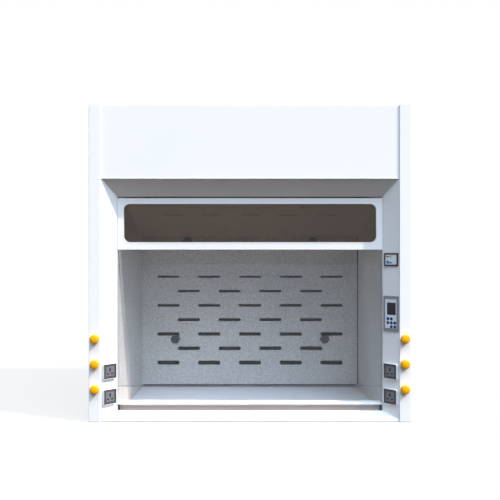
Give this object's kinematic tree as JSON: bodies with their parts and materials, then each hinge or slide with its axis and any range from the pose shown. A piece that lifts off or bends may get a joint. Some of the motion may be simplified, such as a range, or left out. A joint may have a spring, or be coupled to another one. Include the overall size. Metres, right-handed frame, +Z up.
{
  "type": "fume hood",
  "caption": "Bench-top ducted fume hood with a counterweighted sliding glass sash, slotted baffles, service knobs and a keypad controller.",
  "frame": {"origin": "centre of the underside, halfway across the width and halfway between the posts' front and the rear panel", "axes": "+Z up, the sash opening faces -Y, +X to the user's right as they face the hood"},
  "size_m": [1.5, 0.876, 1.555],
  "materials": {
    "white_steel": "satin powder coat",
    "galvanised": "galvanised grey",
    "grey_board": "fine textured laminate",
    "worktop_board": "smooth chemical-proof board",
    "window_metal": "satin powder coat",
    "clear_glass": "clear float glass",
    "dark_glass": "clear float glass",
    "dark_plastic": "moulded",
    "plate_plastic": "moulded",
    "white_plastic": "moulded",
    "case_plastic": "moulded",
    "display": "gloss window",
    "button_blue": "moulded",
    "knob_yellow": "moulded",
    "brass": "turned",
    "dark_steel": "painted",
    "bright_steel": "drawn",
    "spigot_steel": "rolled",
    "guide_metal": "extruded",
    "weight_iron": "painted cast",
    "lamp_glass": "frosted"
  },
  "bodies": {
    "cabinet": {"worktop": "worktop_board", "front_sill": "white_steel", "airfoil": "white_steel", "airfoil_brackets": "dark_steel", "side_panel_left": "white_steel", "side_panel_right": "white_steel", "rear_panel": "white_steel", "roof_panel": "white_steel", "exhaust_spigot": "spigot_steel", "post_left": "white_steel", "post_right": "white_steel", "jamb_left": "white_steel", "jamb_right": "white_steel", "fascia": "white_steel", "soffit": "white_steel", "transom_frame": "window_metal", "transom_glass": "dark_glass", "liner_left": "grey_board", "liner_right": "grey_board", "liner_ceiling": "grey_board", "lower_baffle": "grey_board", "upper_baffle": "grey_board", "baffle_standoffs": "bright_steel", "baffle_nuts": "dark_plastic", "guide_left": "guide_metal", "guide_right": "guide_metal", "frame": "galvanised", "shaft_bearings": "dark_steel", "lamp_housing": "white_steel", "lamp_tubes": "lamp_glass", "lamp_lens": "lamp_glass", "socket_boxes": "white_plastic", "socket_plates": "plate_plastic", "controller_case": "case_plastic", "controller_display": "display", "airflow_meter": "dark_plastic", "service_valves": "brass", "cable_wraps": "bright_steel"},
    "sash": {"sash_glass": "clear_glass", "sash_trim": "dark_plastic", "sash_clamps": "dark_plastic", "sash_cables": "bright_steel"},
    "counterweight_left": {"counterweight_left": "weight_iron", "weight_cable_left": "bright_steel"},
    "counterweight_right": {"counterweight_right": "weight_iron", "weight_cable_right": "bright_steel"},
    "pulley_shaft": {"pulley_shaft": "bright_steel"},
    "service_knob_left_bottom": {"service_knob_left_bottom": "knob_yellow"},
    "service_knob_left_middle": {"service_knob_left_middle": "knob_yellow"},
    "service_knob_left_top": {"service_knob_left_top": "knob_yellow"},
    "service_knob_right_bottom": {"service_knob_right_bottom": "knob_yellow"},
    "service_knob_right_middle": {"service_knob_right_middle": "knob_yellow"},
    "service_knob_right_top": {"service_knob_right_top": "knob_yellow"},
    "button_up": {"button_up": "button_blue"},
    "button_fan": {"button_fan": "button_blue"},
    "button_down": {"button_down": "button_blue"},
    "button_light": {"button_light": "button_blue"},
    "button_set": {"button_set": "button_blue"},
    "button_power": {"button_power": "button_blue"},
    "button_mute": {"button_mute": "button_blue"}
  },
  "joints": [
    {"name": "sash_slide", "type": "slide", "parent": "cabinet", "child": "sash", "axis": [0, 0, 1], "range_m": [-0.071, 0.65], "deforming": ["sash_cables"]},
    {"name": "counterweight_left_slide", "type": "slide", "parent": "cabinet", "child": "counterweight_left", "axis": [0, 0, 1], "range_m": [-0.66, 0.08], "deforming": ["weight_cable_left"]},
    {"name": "counterweight_right_slide", "type": "slide", "parent": "cabinet", "child": "counterweight_right", "axis": [0, 0, 1], "range_m": [-0.66, 0.08], "deforming": ["weight_cable_right"]},
    {"name": "pulley_spin", "type": "hinge", "parent": "cabinet", "child": "pulley_shaft", "pos_m": [0, -0.289, 1.4], "axis": [1, 0, 0], "range_deg": [-940, 120]},
    {"name": "service_knob_left_bottom_turn", "type": "hinge", "parent": "cabinet", "child": "service_knob_left_bottom", "pos_m": [-0.72, -0.425, 0.153], "axis": [0, -1, 0], "range_deg": [0, 540]},
    {"name": "service_knob_left_middle_turn", "type": "hinge", "parent": "cabinet", "child": "service_knob_left_middle", "pos_m": [-0.72, -0.425, 0.27], "axis": [0, -1, 0], "range_deg": [0, 540]},
    {"name": "service_knob_left_top_turn", "type": "hinge", "parent": "cabinet", "child": "service_knob_left_top", "pos_m": [-0.72, -0.425, 0.387], "axis": [0, -1, 0], "range_deg": [0, 540]},
    {"name": "service_knob_right_bottom_turn", "type": "hinge", "parent": "cabinet", "child": "service_knob_right_bottom", "pos_m": [0.72, -0.425, 0.153], "axis": [0, -1, 0], "range_deg": [0, 540]},
    {"name": "service_knob_right_middle_turn", "type": "hinge", "parent": "cabinet", "child": "service_knob_right_middle", "pos_m": [0.72, -0.425, 0.27], "axis": [0, -1, 0], "range_deg": [0, 540]},
    {"name": "service_knob_right_top_turn", "type": "hinge", "parent": "cabinet", "child": "service_knob_right_top", "pos_m": [0.72, -0.425, 0.387], "axis": [0, -1, 0], "range_deg": [0, 540]},
    {"name": "button_up_press", "type": "slide", "parent": "cabinet", "child": "button_up", "axis": [0.7071, 0.7071, 0], "range_m": [0, 0.0015], "stiffness_N_per_m": 300},
    {"name": "button_fan_press", "type": "slide", "parent": "cabinet", "child": "button_fan", "axis": [0.7071, 0.7071, 0], "range_m": [0, 0.0015], "stiffness_N_per_m": 300},
    {"name": "button_down_press", "type": "slide", "parent": "cabinet", "child": "button_down", "axis": [0.7071, 0.7071, 0], "range_m": [0, 0.0015], "stiffness_N_per_m": 300},
    {"name": "button_light_press", "type": "slide", "parent": "cabinet", "child": "button_light", "axis": [0.7071, 0.7071, 0], "range_m": [0, 0.0015], "stiffness_N_per_m": 300},
    {"name": "button_set_press", "type": "slide", "parent": "cabinet", "child": "button_set", "axis": [0.7071, 0.7071, 0], "range_m": [0, 0.0015], "stiffness_N_per_m": 300},
    {"name": "button_power_press", "type": "slide", "parent": "cabinet", "child": "button_power", "axis": [0.7071, 0.7071, 0], "range_m": [0, 0.0015], "stiffness_N_per_m": 300},
    {"name": "button_mute_press", "type": "slide", "parent": "cabinet", "child": "button_mute", "axis": [0.7071, 0.7071, 0], "range_m": [0, 0.0015], "stiffness_N_per_m": 300}
  ],
  "couplings": [
    {"joint": "counterweight_left_slide", "follows": "sash_slide", "ratio": -1},
    {"joint": "counterweight_right_slide", "follows": "sash_slide", "ratio": -1},
    {"joint": "pulley_spin", "follows": "sash_slide", "rad_per_m": -25}
  ]
}
